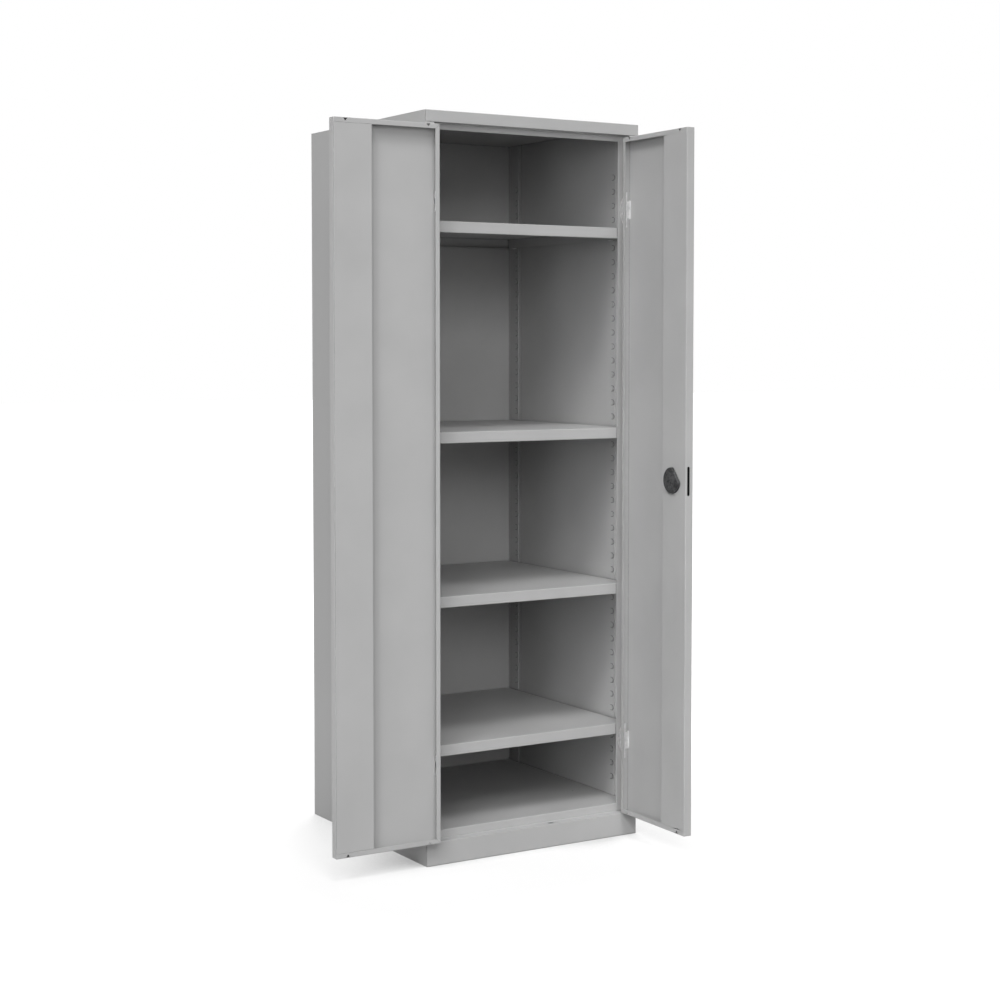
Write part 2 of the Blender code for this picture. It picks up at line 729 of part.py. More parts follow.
def lock_point(y, along=0.0, up=0.0):
    """A point in the right door's frame, measured from the lock's axis."""
    return door_point(1, HUB + along, y, LOCK_HEIGHT + up)


def lock_box(along_low, along_high, y_low, y_high, up_low, up_high):
    return door_box(
        1, HUB + along_low, HUB + along_high, y_low, y_high, LOCK_HEIGHT + up_low, LOCK_HEIGHT + up_high
    )


def lock_rod(up, pivot, name):
    """A lock rod: round bar, with an offset fork at the lock end that straddles its crank pin."""
    tip = (DOOR_TOP - ROD_RETRACT if up > 0 else DOOR_BOTTOM + ROD_RETRACT) - LOCK_HEIGHT
    bar_start = up * (WEB_LOW + WEB_HEIGHT / 2)
    rod = piece(
        cylinder(ROD_RADIUS, lock_point(ROD_Y, up=bar_start), lock_point(ROD_Y, up=tip), 12),
        name, ZINC, pivot, smooth=True,
    )
    centre = -up * CRANK_REST
    half = CRANK_PIN_RADIUS + FORK_PLAY + FORK_WALL
    fork_top = FORK_Y + FORK_THICKNESS

    def bar(along_low, along_high, up_low, up_high, margin=0.0):
        ends = sorted((up * along_low, up * along_high))
        return lock_box(*ends, FORK_Y - margin, fork_top + margin, *sorted((up_low, up_high)))

    web = up * WEB_LOW, up * (WEB_LOW + WEB_HEIGHT)
    combine(rod, bar(-ROD_RADIUS, FORK_REACH, *web), "UNION")
    combine(rod, bar(FORK_REACH - ARM_WIDTH, FORK_REACH, centre, up * (WEB_LOW + WEB_HEIGHT / 2)), "UNION")
    combine(rod, bar(FORK_NEAR, FORK_REACH, centre - half, centre + half), "UNION")
    slot = CRANK_PIN_RADIUS + FORK_PLAY
    combine(rod, bar(
        FORK_NEAR - OVERRUN, CRANK + slot, centre - slot, centre + slot, OVERRUN
    ))
    return rod


def lock_cam(pivot):
    """Disc on the spindle with a crank pin for each rod."""
    cam = piece(
        cylinder(CAM_RADIUS, lock_point(CAM_Y), lock_point(CAM_Y + CAM_THICKNESS), 24),
        "lock_cam", ZINC, pivot, smooth=True,
    )
    for sign in (-1, 1):
        along, up = sign * CRANK_REST, -sign * CRANK_REST
        pin_end = lock_point(CAM_Y + CAM_THICKNESS / 2, along, up)
        combine(cam, cylinder(CRANK_PIN_RADIUS, lock_point(FORK_Y, along, up), pin_end, 8), "UNION")
    half = SPINDLE / 2 + SPINDLE_PLAY
    combine(cam, lock_box(-half, half, FORK_Y, CAM_Y + CAM_THICKNESS + OVERRUN, -half, half))
    return cam


def lock_spindle(pivot):
    """Square bar from the handle's neck through the door's skin to the cam."""
    start = -ROSETTE_HEIGHT - NECK_HEIGHT
    half = SPINDLE / 2
    spindle = piece(
        lock_box(-half, half, start, CAM_Y + CAM_THICKNESS + GAP, -half, half), "lock_spindle", ZINC, pivot
    )
    round_edges(spindle, GAP, 1)
    return spindle


def rod_guide(up, pivot, name):
    """Collar in the door's end flange that the rod slides through."""
    edge = DOOR_TOP if up > 0 else DOOR_BOTTOM
    inside = edge - up * (SHEET + GAP)
    x, y = -HUB, PIVOT_PROUD + ROD_Y
    guide = piece(
        cylinder(GUIDE_RADIUS, (x, y, inside - up * GUIDE_HEIGHT), (x, y, inside), 16), name, BLACK_PLASTIC,
        pivot, smooth=True,
    )
    combine(guide, cylinder(
        GUIDE_NECK_RADIUS, (x, y, inside - up * GUIDE_HEIGHT / 2), (x, y, edge + up * GAP), 16
    ), "UNION")
    combine(guide, cylinder(
        ROD_RADIUS + GAP, (x, y, inside - up * (GUIDE_HEIGHT + OVERRUN)), (x, y, edge + up * OVERRUN), 12
    ))
    return guide


def inner_lock_cover(pivot):
    """Round cover over the lock on the stiffener's face, with one flat."""
    base = DOOR_THICKNESS + GAP
    cover = piece(
        cylinder(COVER_RADIUS, lock_point(base), lock_point(base + COVER_HEIGHT), 48),
        "inner_lock_cover", DARK_PLASTIC, pivot, smooth=True,
    )
    outward = Vector((-math.cos(COVER_FLAT_TURN), 0, math.sin(COVER_FLAT_TURN)))
    along = Vector((math.sin(COVER_FLAT_TURN), 0, math.cos(COVER_FLAT_TURN)))
    near = lock_point(base - OVERRUN) + outward * COVER_FLAT
    far = near + outward * COVER_RADIUS
    points = [near - along * COVER_RADIUS, far - along * COVER_RADIUS]
    points += [far + along * COVER_RADIUS, near + along * COVER_RADIUS]
    combine(cover, prism(points, (0, COVER_HEIGHT + 2 * OVERRUN, 0)))
    round_edges(cover, COVER_HEIGHT / 3)
    return cover


def handle_rosette(pivot):
    """Round plate behind the handle on the door's outer face."""
    rosette = piece(
        cylinder(ROSETTE_RADIUS, lock_point(-GAP), lock_point(-ROSETTE_HEIGHT), 48),
        "handle_rosette", BLACK_PLASTIC, pivot, smooth=True,
    )
    round_edges(rosette, ROSETTE_HEIGHT / 3)
    combine(rosette, cylinder(
        SPINDLE / math.sqrt(2) + FORK_PLAY, lock_point(OVERRUN), lock_point(-ROSETTE_HEIGHT - OVERRUN), 16
    ))
    return rosette


def door_handle(pivot):
    """Turning grip with round ends on a short neck, bored for the lock cylinder and the spindle."""
    neck_end = -ROSETTE_HEIGHT - GAP
    base = neck_end - NECK_HEIGHT
    top = base - GRIP_HEIGHT
    points = [lock_point(base, across, up) for up, across in stadium(GRIP_LENGTH, GRIP_WIDTH, 12)]
    grip = piece(prism(points, (0, top - base, 0)), "door_handle", BLACK_PLASTIC, pivot, smooth=True)
    round_edges(grip, GRIP_ROUND, 3)
    neck_root = lock_point(base - GRIP_HEIGHT / 2)
    combine(grip, cylinder(NECK_RADIUS, lock_point(neck_end), neck_root, 32), "UNION")
    combine(grip, cylinder(
        SLEEVE_RADIUS + GAP, lock_point(top - OVERRUN), lock_point(top + SLEEVE_DEPTH + GAP), 32
    ))
    half = SPINDLE / 2 + SPINDLE_PLAY
    combine(grip, lock_box(-half, half, -ROSETTE_HEIGHT - NECK_HEIGHT - GAP, OVERRUN, -half, half))
    return grip


def handle_face():
    """The outer face of the grip, measured from the door's outer face."""
    return -ROSETTE_HEIGHT - GAP - NECK_HEIGHT - GRIP_HEIGHT


def lock_sleeve(pivot):
    """Fixed ring of the lock cylinder."""
    sleeve = piece(
        cylinder(SLEEVE_RADIUS, lock_point(handle_face() - SLEEVE_PROUD),
                 lock_point(handle_face() + SLEEVE_DEPTH), 32),
        "lock_sleeve", ZINC, pivot, smooth=True,
    )
    combine(sleeve, cylinder(
        PLUG_RADIUS + GAP, lock_point(handle_face() - SLEEVE_PROUD - OVERRUN),
        lock_point(handle_face() + SLEEVE_DEPTH + OVERRUN), 24
    ))
    return sleeve


def lock_plug(pivot):
    """Turning core of the lock cylinder, with its key slot."""
    face = handle_face() - SLEEVE_PROUD
    plug = piece(
        cylinder(PLUG_RADIUS, lock_point(face), lock_point(handle_face() + SLEEVE_DEPTH), 24),
        "lock_plug", ZINC, pivot, smooth=True,
    )
    combine(plug, lock_box(
        -KEY_SLOT_WIDTH / 2, KEY_SLOT_WIDTH / 2, face - OVERRUN, face + KEY_SLOT_DEPTH,
        -KEY_SLOT_LENGTH / 2, KEY_SLOT_LENGTH / 2
    ))
    return plug


def cut_lock_openings(skin, stiffener):
    """Openings of the right door: spindle, latch slot, rod ends, service hole and hanging slot."""
    combine(skin, cylinder(SKIN_HOLE_RADIUS, lock_point(-OVERRUN), lock_point(SHEET + OVERRUN), 16))
    slot_middle = DOOR_THICKNESS - LATCH_SLOT_SETBACK - LATCH_SLOT_WIDTH / 2
    points = [
        door_point(1, DOOR_FAR - SHEET - GAP / 2, slot_middle + across, LOCK_HEIGHT + up)
        for up, across in stadium(LATCH_SLOT_HEIGHT, LATCH_SLOT_WIDTH, 6)
    ]
    combine(skin, prism(points, (-SHEET - OVERRUN, 0, 0)))
    for edge, up in ((DOOR_TOP, 1), (DOOR_BOTTOM, -1)):
        x, y = -HUB, PIVOT_PROUD + ROD_Y
        combine(skin, cylinder(
            GUIDE_NECK_RADIUS + GAP, (x, y, edge - up * (SHEET + OVERRUN)), (x, y, edge + up * OVERRUN), 16
        ))
    face = DOOR_THICKNESS
    combine(stiffener, cylinder(
        SERVICE_HOLE_RADIUS, lock_point(face - SHEET - OVERRUN), lock_point(face + OVERRUN), 24
    ))
    slot_far = DOOR_FAR - HANGING_SLOT_INSET
    combine(stiffener, door_box(
        1, slot_far - HANGING_SLOT_LENGTH, slot_far, face - SHEET - OVERRUN, face + OVERRUN,
        DOOR_BOTTOM + LIP - OVERRUN, DOOR_BOTTOM + LIP + GAP + HANGING_SLOT_HEIGHT
    ))


def build_carcass():
    for side, word in ((-1, "left"), (1, "right")):
        side_panel(side, word + "_side_panel")
        for row, y in (("front", FRONT_RAIL_Y), ("rear", REAR_RAIL_Y)):
            shelf_rail(side, y, f"{row}_{word}_shelf_rail")
            for number, slot in enumerate(SHELF_SLOTS, 1):
                shelf_clip(side, y, slot, f"shelf_{number}_clip_{row}_{word}")
        for place, level in HINGE_LEVELS.items():
            frame_leaf(side, level, f"{word}_{place}_frame_leaf")
            hinge_pin(side, level, f"{word}_{place}_hinge_pin")
    top_cap()
    bottom_panel()
    rear_base_rail()
    back_panel()
    for number, slot in enumerate(SHELF_SLOTS, 1):
        shelf(slot, f"shelf_{number}")


def build_door(side, angle, word):
    pivot = door_pivot(side, angle, word + "_door_pivot")
    skin = door_panel(side, pivot, word + "_door_panel")
    stiffener = door_stiffener(side, pivot, word + "_door_stiffener")
    for place, level in HINGE_LEVELS.items():
        door_leaf(side, level, pivot, f"{word}_{place}_door_leaf")
    return pivot, skin, stiffener


def build_lock(pivot):
    handle_rosette(pivot)
    door_handle(pivot)
    lock_sleeve(pivot)
    lock_plug(pivot)
    lock_spindle(pivot)
    lock_cam(pivot)
    lock_rod(1, pivot, "upper_lock_rod")
    lock_rod(-1, pivot, "lower_lock_rod")
    rod_guide(1, pivot, "upper_rod_guide")
    rod_guide(-1, pivot, "lower_rod_guide")
    inner_lock_cover(pivot)


clear_scene()
PARTS = new_collection("filing_cabinet")
CUTTERS = new_collection("cutters")
POWDER_COAT = new_material("powder_coated_steel", (0.38, 0.38, 0.38), 0.45)
ZINC = new_material("zinc_plated_steel", (0.62, 0.62, 0.63), 0.3, 1.0)
BLACK_PLASTIC = new_material("black_plastic", (0.03, 0.03, 0.03), 0.4)
DARK_PLASTIC = new_material("dark_grey_plastic", (0.06, 0.06, 0.06), 0.55)

build_carcass()
build_door(-1, -LEFT_OPEN, "left")
right_pivot, right_skin, right_stiffener = build_door(1, RIGHT_OPEN, "right")
cut_lock_openings(right_skin, right_stiffener)
build_lock(right_pivot)
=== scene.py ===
"""Steel filing cabinet with two doors: finishes, small fittings, soft light and the photograph's camera.

Metres, +Z up, the cabinet's front faces -Y.
"""

import json
import math

import bmesh
import bpy
from mathutils import Matrix, Vector


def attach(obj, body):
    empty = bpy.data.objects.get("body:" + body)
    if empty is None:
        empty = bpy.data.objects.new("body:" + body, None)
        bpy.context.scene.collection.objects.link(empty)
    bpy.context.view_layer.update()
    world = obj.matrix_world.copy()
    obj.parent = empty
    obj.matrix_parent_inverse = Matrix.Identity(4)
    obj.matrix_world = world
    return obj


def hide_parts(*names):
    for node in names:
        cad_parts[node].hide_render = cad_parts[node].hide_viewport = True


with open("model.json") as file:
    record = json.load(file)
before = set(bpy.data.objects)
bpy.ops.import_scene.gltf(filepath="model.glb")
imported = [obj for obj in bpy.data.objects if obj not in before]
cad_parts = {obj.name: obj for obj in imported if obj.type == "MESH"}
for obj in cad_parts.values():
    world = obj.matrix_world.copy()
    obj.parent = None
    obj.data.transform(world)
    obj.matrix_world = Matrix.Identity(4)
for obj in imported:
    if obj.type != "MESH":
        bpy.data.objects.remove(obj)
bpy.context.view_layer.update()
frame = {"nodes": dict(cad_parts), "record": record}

MM = 0.001


def linear(hex_colour):
    """An sRGB hex colour as linear RGBA."""
    parts = [int(hex_colour[i:i + 2], 16) / 255 for i in (1, 3, 5)]
    return tuple(p / 12.92 if p <= 0.04045 else ((p + 0.055) / 1.055) ** 2.4 for p in parts) + (1.0,)


def add(tree, kind, settings=None, links=None):
    """Add a node: settings go to its attributes or, by socket name or number, its inputs."""
    node = tree.nodes.new("ShaderNode" + kind)
    for key, value in (settings or {}).items():
        if isinstance(key, str) and hasattr(node, key):
            setattr(node, key, value)
        else:
            node.inputs[key].default_value = value
    for key, source in (links or {}).items():
        tree.links.new(source, node.inputs[key])
    return node


def new_finish(name):
    made = bpy.data.materials.new(name)
    made.use_nodes = True
    tree = made.node_tree
    return made, tree, tree.nodes["Principled BSDF"], add(tree, "TexCoord").outputs["Object"]


def powder_coated_steel():
    """Sheet steel with baked polyester powder: an even satin light grey with a fine orange peel.

    Folds and cut edges are painted a little lighter in patches as a highlight, inner corners painted darker
    as shade.
    """
    made, tree, shader, place = new_finish("powder-coated steel")
    cloud = add(tree, "TexNoise", {"Scale": 1 / (180 * MM), "Detail": 3.0}, {"Vector": place})
    tint = add(tree, "ValToRGB", links={"Fac": cloud.outputs["Fac"]})
    tint.color_ramp.elements[0].position = 0.3
    tint.color_ramp.elements[0].color = linear("#AEAEAE")
    tint.color_ramp.elements[1].position = 0.7
    tint.color_ramp.elements[1].color = linear("#B4B4B4")
    rounded = add(tree, "Bevel", {"samples": 4, "Radius": 1.2 * MM})
    flat = add(tree, "NewGeometry").outputs["Normal"]
    apart = add(tree, "VectorMath", {"operation": "DOT_PRODUCT"}, {0: rounded.outputs["Normal"], 1: flat})
    edge = add(
        tree, "MapRange",
        {"From Min": 0.995, "From Max": 0.90, "To Min": 0.0, "To Max": 1.0}, {"Value": apart.outputs["Value"]}
    )
    # painted highlight: folds and cut edges turn a lighter grey, broken into patches by noise
    edge_patch_noise = add(tree, "TexNoise", {"Scale": 1 / (14 * MM), "Detail": 4.0}, {"Vector": place})
    edge_patches = add(
        tree, "MapRange", {"From Min": 0.35, "From Max": 0.75, "To Min": 0.0, "To Max": 0.55},
        {"Value": edge_patch_noise.outputs["Fac"]}
    )
    painted_edge_highlight = add(
        tree, "Math", {"operation": "MULTIPLY"}, {0: edge.outputs["Result"], 1: edge_patches.outputs["Result"]}
    )
    colour = add(
        tree, "MixRGB", {"Color2": linear("#C3C3C3")},
        {"Fac": painted_edge_highlight.outputs["Value"], "Color1": tint.outputs["Color"]}
    )
    # painted shade: the colour darkens within 9 mm of an inner corner and in the cuts round the rails'
    # tongues
    corner = add(tree, "AmbientOcclusion", {"samples": 6, "Distance": 9 * MM})
    corner_shade_factor = add(
        tree, "MapRange", {"From Min": 0.28, "From Max": 0.66, "To Min": 0.32, "To Max": 1.0},
        {"Value": corner.outputs["AO"]}
    )
    shaded = add(
        tree, "VectorMath", {"operation": "SCALE"},
        {0: colour.outputs["Color"], "Scale": corner_shade_factor.outputs["Result"]}
    )
    # orange peel of about 1.5 mm, drawn a little coarser than real so that it shows
    peel = add(tree, "TexNoise", {"Scale": 1 / (2.2 * MM), "Detail": 2.0}, {"Vector": place})
    sheen = add(
        tree, "MapRange", {"From Min": 0.3, "From Max": 0.7, "To Min": 0.40, "To Max": 0.52},
        {"Value": cloud.outputs["Fac"]}
    )
    bump = add(
        tree, "Bump", {"Strength": 0.18, "Distance": 0.10 * MM},
        {"Height": peel.outputs["Fac"], "Normal": rounded.outputs["Normal"]}
    )
    tree.links.new(shaded.outputs["Vector"], shader.inputs["Base Color"])
    tree.links.new(sheen.outputs["Result"], shader.inputs["Roughness"])
    tree.links.new(bump.outputs["Normal"], shader.inputs["Normal"])
    shader.inputs["IOR"].default_value = 1.5
    return made


def zinc_plated_steel():
    """Pressed steel with bright zinc: a cool white metal with faint cloudy spangle and fine rubbing marks."""
    made, tree, shader, place = new_finish("zinc-plated steel")
    cloud = add(tree, "TexNoise", {"Scale": 1 / (9 * MM), "Detail": 4.0}, {"Vector": place})
    tint = add(tree, "ValToRGB", links={"Fac": cloud.outputs["Fac"]})
    tint.color_ramp.elements[0].position = 0.35
    tint.color_ramp.elements[0].color = linear("#D0D0D0")
    tint.color_ramp.elements[1].position = 0.68
    tint.color_ramp.elements[1].color = linear("#E6E6E6")
    stretch = add(tree, "Mapping", {"Scale": (1.0, 1.0, 0.06)}, {"Vector": place})
    marks = add(
        tree, "TexNoise", {"Scale": 1 / (0.6 * MM), "Detail": 2.0}, {"Vector": stretch.outputs["Vector"]}
    )
    rough = add(
        tree, "MapRange", {"From Min": 0.3, "From Max": 0.7, "To Min": 0.48, "To Max": 0.64},
        {"Value": marks.outputs["Fac"]}
    )
    bump = add(tree, "Bump", {"Strength": 0.10, "Distance": 0.05 * MM}, {"Height": marks.outputs["Fac"]})
    tree.links.new(tint.outputs["Color"], shader.inputs["Base Color"])
    tree.links.new(rough.outputs["Result"], shader.inputs["Roughness"])
    tree.links.new(bump.outputs["Normal"], shader.inputs["Normal"])
    shader.inputs["Metallic"].default_value = 1.0
    return made


def moulded_plastic(name, dark, light, grain, fleck, matt=0.42, sheen=0.3):
    """Injection-moulded plastic with a spark-eroded grain: a soft sheen broken into fine points.

    grain is the texture's size in metres, fleck how far the light specks stand out, matt its least roughness,
    sheen how strongly it reflects.
    """
    made, tree, shader, place = new_finish(name)
    cells = add(tree, "TexVoronoi", {"feature": "SMOOTH_F1", "Scale": 1 / grain}, {"Vector": place})
    cloud = add(tree, "TexNoise", {"Scale": 1 / (grain * 7), "Detail": 3.0}, {"Vector": place})
    mixed = add(
        tree, "Math", {"operation": "MULTIPLY_ADD", 1: fleck},
        {0: cells.outputs["Distance"], 2: cloud.outputs["Fac"]}
    )
    tint = add(tree, "ValToRGB", links={"Fac": mixed.outputs["Value"]})
    tint.color_ramp.elements[0].position = 0.55 + 0.2 * fleck
    tint.color_ramp.elements[0].color = linear(dark)
    tint.color_ramp.elements[1].position = 0.62 + 0.5 * fleck
    tint.color_ramp.elements[1].color = linear(light)
    rough = add(
        tree, "MapRange", {"From Min": 0.3, "From Max": 0.7, "To Min": matt, "To Max": matt + 0.18},
        {"Value": cloud.outputs["Fac"]}
    )
    rounded = add(tree, "Bevel", {"samples": 4, "Radius": 0.4 * MM})
    bump = add(
        tree, "Bump", {"Strength": 0.25, "Distance": 0.08 * MM},
        {"Height": cells.outputs["Distance"], "Normal": rounded.outputs["Normal"]}
    )
    tree.links.new(tint.outputs["Color"], shader.inputs["Base Color"])
    tree.links.new(rough.outputs["Result"], shader.inputs["Roughness"])
    tree.links.new(bump.outputs["Normal"], shader.inputs["Normal"])
    shader.inputs["IOR"].default_value = 1.5
    shader.inputs["Specular IOR Level"].default_value = sheen
    return made


FINISHES = {
    "powder_coated_steel": powder_coated_steel(),
    "zinc_plated_steel": zinc_plated_steel(),
    "black_plastic": moulded_plastic("moulded black polyamide", "#161617", "#2A2A2B", 0.9 * MM, 0.4),
    "dark_grey_plastic": moulded_plastic("moulded dark grey ABS", "#1F1F20", "#4E4E4F", 2.6 * MM, 0.9, 0.66),
}
# painted shade: a dull black sheet behind the latch's slot, standing for the shade inside it, seen only as a
# black stripe
SLOT_SHADE_SHEET = moulded_plastic("painted slot shade", "#0A0A0B", "#151516", 0.9 * MM, 0.4, 0.6, 0.04)

for entry in frame["record"]["subparts"]:
    node = frame["nodes"][entry["node"]]
    finish = FINISHES[entry["material_slot"]]
    if not node.material_slots:
        node.data.materials.append(finish)
    for place_for in node.material_slots:
        place_for.material = finish


# Small pieces: the round ones are turned here more finely than in the solids

# The right door's hinge line, how far it stands open, its outer face and the lock's axis on it
HINGE_LINE = Vector((312 * MM, -12 * MM, 0))
STANDS_OPEN = math.radians(88)
OUTER_FACE = 2 * MM
LOCK_FROM_HINGE = 252.5 * MM
LOCK_HEIGHT = 1023 * MM
DOOR_THICKNESS = 24 * MM
PLAY = 0.3 * MM

# On the lock's axis: across towards the hinge, up, and out of the door's outer face
LOCK_PLACE = (
    Matrix.Translation(HINGE_LINE)
    @ Matrix.Rotation(STANDS_OPEN, 4, "Z")
    @ Matrix.Translation((-LOCK_FROM_HINGE, OUTER_FACE, LOCK_HEIGHT))
    @ Matrix.Rotation(math.pi / 2, 4, "X")
)


def new_piece(bm, name, place, finish, crease=math.radians(32)):
    """A named piece made from bm and set in place, smooth but for its real edges."""
    mesh = bpy.data.meshes.new(name)
    bm.to_mesh(mesh)
    bm.free()
    mesh.shade_smooth()
    mesh.set_sharp_from_angle(angle=crease)
    mesh.materials.append(FINISHES[finish])
    made = bpy.data.objects.new(name, mesh)
    made.matrix_world = place
    bpy.context.scene.collection.objects.link(made)
    return made


def turned(profile, steps=72):
    """A solid of revolution about Z from (radius, height) points; a ring where the profile comes back."""
    bm = bmesh.new()
    rings = []
    for radius, height in profile:
        if radius == 0:
            rings.append([bm.verts.new((0, 0, height))])
            continue
        angles = [2 * math.pi * step / steps for step in range(steps)]
        rings.append([bm.verts.new((radius * math.cos(a), radius * math.sin(a), height)) for a in angles])
    for first, second in zip(rings, rings[1:]):
        for step in range(steps):
            after = (step + 1) % steps
            corners = [first[step % len(first)], first[after % len(first)]]
            corners += [second[after % len(second)], second[step % len(second)]]
            bm.faces.new(list(dict.fromkeys(corners)))
    bmesh.ops.recalc_face_normals(bm, faces=bm.faces)
    return bm


def rounded_corner(radius, height, ease, steps=5):
    """Profile points round the outer top corner of a disc, from its side to its top."""
    turns = [math.pi / 2 * step / steps for step in range(steps + 1)]
    return [(radius - ease * (1 - math.cos(a)), height - ease * (1 - math.sin(a))) for a in turns]


def round_ended(half_width, straight, steps):
    """The outline of a bar with full round ends, whose centres lie straight above and below the middle."""
    turns = [math.pi * step / steps for step in range(steps + 1)]
    return [
        (sign * half_width * math.cos(a), sign * (straight + half_width * math.sin(a)))
        for sign in (1, -1) for a in turns
    ]


def slab(outline, low, high):
    """A flat outline drawn up from low to high."""
    bm = bmesh.new()
    face = bm.faces.new([bm.verts.new((x, y, low)) for x, y in outline])
    made = bmesh.ops.extrude_face_region(bm, geom=[face])["geom"]
    moved = [item for item in made if isinstance(item, bmesh.types.BMVert)]
    bmesh.ops.translate(bm, verts=moved, vec=(0, 0, high - low))
    bmesh.ops.recalc_face_normals(bm, faces=bm.faces)
    return bm


def cut(piece, bm):
    """Take a shape out of a piece, drawn in the piece's own frame."""
    mesh = bpy.data.meshes.new("cut")
    bm.to_mesh(mesh)
    bm.free()
    tool = bpy.data.objects.new("cut", mesh)
    tool.matrix_world = piece.matrix_world
    bpy.context.scene.collection.objects.link(tool)
    change = piece.modifiers.new("cut", "BOOLEAN")
    change.operation = "DIFFERENCE"
    change.solver = "EXACT"
    change.object = tool
    apply_changes(piece)
    bpy.data.objects.remove(tool)
    bpy.data.meshes.remove(mesh)


def apply_changes(piece):
    """Turn a piece's modifiers into its mesh."""
    bpy.context.view_layer.update()
    seen = bpy.context.evaluated_depsgraph_get()
    mesh = bpy.data.meshes.new_from_object(piece.evaluated_get(seen))
    piece.modifiers.clear()
    piece.data = mesh


def soften(piece, width, segments):
    """Round the piece's sharp edges."""
    bevel = piece.modifiers.new("round", "BEVEL")
    bevel.width = width
    bevel.segments = segments
    bevel.limit_method = "ANGLE"
    bevel.angle_limit = math.radians(50)
    bevel.harden_normals = True
    apply_changes(piece)


ROSETTE_RADIUS, ROSETTE_HEIGHT = 30 * MM, 5 * MM
NECK_RADIUS, NECK_HEIGHT = 12 * MM, 10 * MM
GRIP_LENGTH, GRIP_WIDTH, GRIP_HEIGHT, GRIP_ROUND = 116 * MM, 27 * MM, 15 * MM, 4 * MM
GRIP_BASE = ROSETTE_HEIGHT + PLAY + NECK_HEIGHT
GRIP_FACE = GRIP_BASE + GRIP_HEIGHT
SLEEVE_RADIUS, SLEEVE_PROUD, SLEEVE_DEPTH = 9.5 * MM, 1.5 * MM, 10 * MM
PLUG_RADIUS = 6.3 * MM
KEY_SLOT_LENGTH, KEY_SLOT_WIDTH, KEY_SLOT_DEPTH = 7.8 * MM, 1.6 * MM, 4 * MM
SCREW_RADIUS, SCREW_OFFSET, SCREW_PROUD = 3.4 * MM, 21.5 * MM, 0.5 * MM
# The two bars that are cut crosswise into a screw's head: length, width, depth
CROSS_BAR = (4 * MM, 0.7 * MM, 1.2 * MM)


def rosette():
    """Round base plate with a rolled rim and a shallow step round the neck."""
    rim = rounded_corner(ROSETTE_RADIUS, ROSETTE_HEIGHT, 2 * MM)
    step_height = ROSETTE_HEIGHT - 0.6 * MM
    inner = 15 * MM
    bore = 6.2 * MM
    profile = [(bore, PLAY), (ROSETTE_RADIUS, PLAY)] + rim
    profile += [(inner + 0.6 * MM, ROSETTE_HEIGHT), (inner, step_height), (bore, step_height), (bore, PLAY)]
    plate = new_piece(turned(profile, 96), "rosette_plate", LOCK_PLACE, "black_plastic")
    for sign in (-1, 1):
        seat = turned([(0, step_height - 1 * MM), (SCREW_RADIUS, step_height - 1 * MM),
                       (SCREW_RADIUS + PLAY, ROSETTE_HEIGHT + PLAY), (0, ROSETTE_HEIGHT + PLAY)], 24)
        bmesh.ops.translate(seat, verts=seat.verts, vec=(sign * SCREW_OFFSET, 0, 0))
        cut(plate, seat)
    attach(plate, "right_door")
    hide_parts("handle_rosette")
    for sign, side in ((-1, "outer"), (1, "inner")):
        top = ROSETTE_HEIGHT + SCREW_PROUD / 4
        head = [(0, ROSETTE_HEIGHT - 1 * MM), (SCREW_RADIUS - PLAY, ROSETTE_HEIGHT - 1 * MM)]
        head += rounded_corner(SCREW_RADIUS - PLAY, top, 0.4 * MM, 3) + [(0, top + 0.2 * MM)]
        spot = Matrix.Translation((sign * SCREW_OFFSET, 0, 0))
        place = LOCK_PLACE @ spot @ Matrix.Rotation(sign + 0.4, 4, "Z")
        screw = new_piece(turned(head, 32), f"rosette_{side}_screw", place, "zinc_plated_steel")
        for turn in (0, math.pi / 2):
            bar = bmesh.new()
            bmesh.ops.create_cube(bar, size=1.0)
            across = Matrix.LocRotScale((0, 0, top), Matrix.Rotation(turn, 3, "Z"), CROSS_BAR)
            bmesh.ops.transform(bar, verts=bar.verts, matrix=across)
            cut(screw, bar)
        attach(screw, "right_door")


def turning_grip():
    """Long grip with full round ends on a flared neck, bored for the lock cylinder."""
    straight = (GRIP_LENGTH - GRIP_WIDTH) / 2
    steps = 28
    outline = round_ended(GRIP_WIDTH / 2, straight, steps)
    grip = new_piece(slab(outline, GRIP_BASE, GRIP_FACE), "turning_grip", LOCK_PLACE, "black_plastic")
    soften(grip, GRIP_ROUND, 6)
    cut(grip, turned([
        (0, GRIP_FACE - SLEEVE_DEPTH - PLAY), (SLEEVE_RADIUS + PLAY, GRIP_FACE - SLEEVE_DEPTH - PLAY),
        (SLEEVE_RADIUS + PLAY, GRIP_FACE - 0.5 * MM), (SLEEVE_RADIUS + 1.0 * MM, GRIP_FACE + PLAY),
        (0, GRIP_FACE + PLAY),
    ]))
    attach(grip, "handle")
    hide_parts("door_handle")
    foot = ROSETTE_HEIGHT + PLAY
    flare = 3 * MM
    profile = [(0, foot), (NECK_RADIUS - 0.4 * MM, foot), (NECK_RADIUS, foot + 0.4 * MM)]
    profile += [(NECK_RADIUS, GRIP_BASE - flare)]
    for step in range(1, 6):
        angle = math.pi / 2 * step / 5
        profile.append((
            NECK_RADIUS + (flare / 2) * (1 - math.cos(angle)), GRIP_BASE - flare + flare * math.sin(angle)
        ))
    profile += [(NECK_RADIUS + flare / 2, GRIP_BASE + 1 * MM), (0, GRIP_BASE + 1 * MM)]
    neck = new_piece(turned(profile), "grip_neck", LOCK_PLACE, "black_plastic")
    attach(neck, "handle")


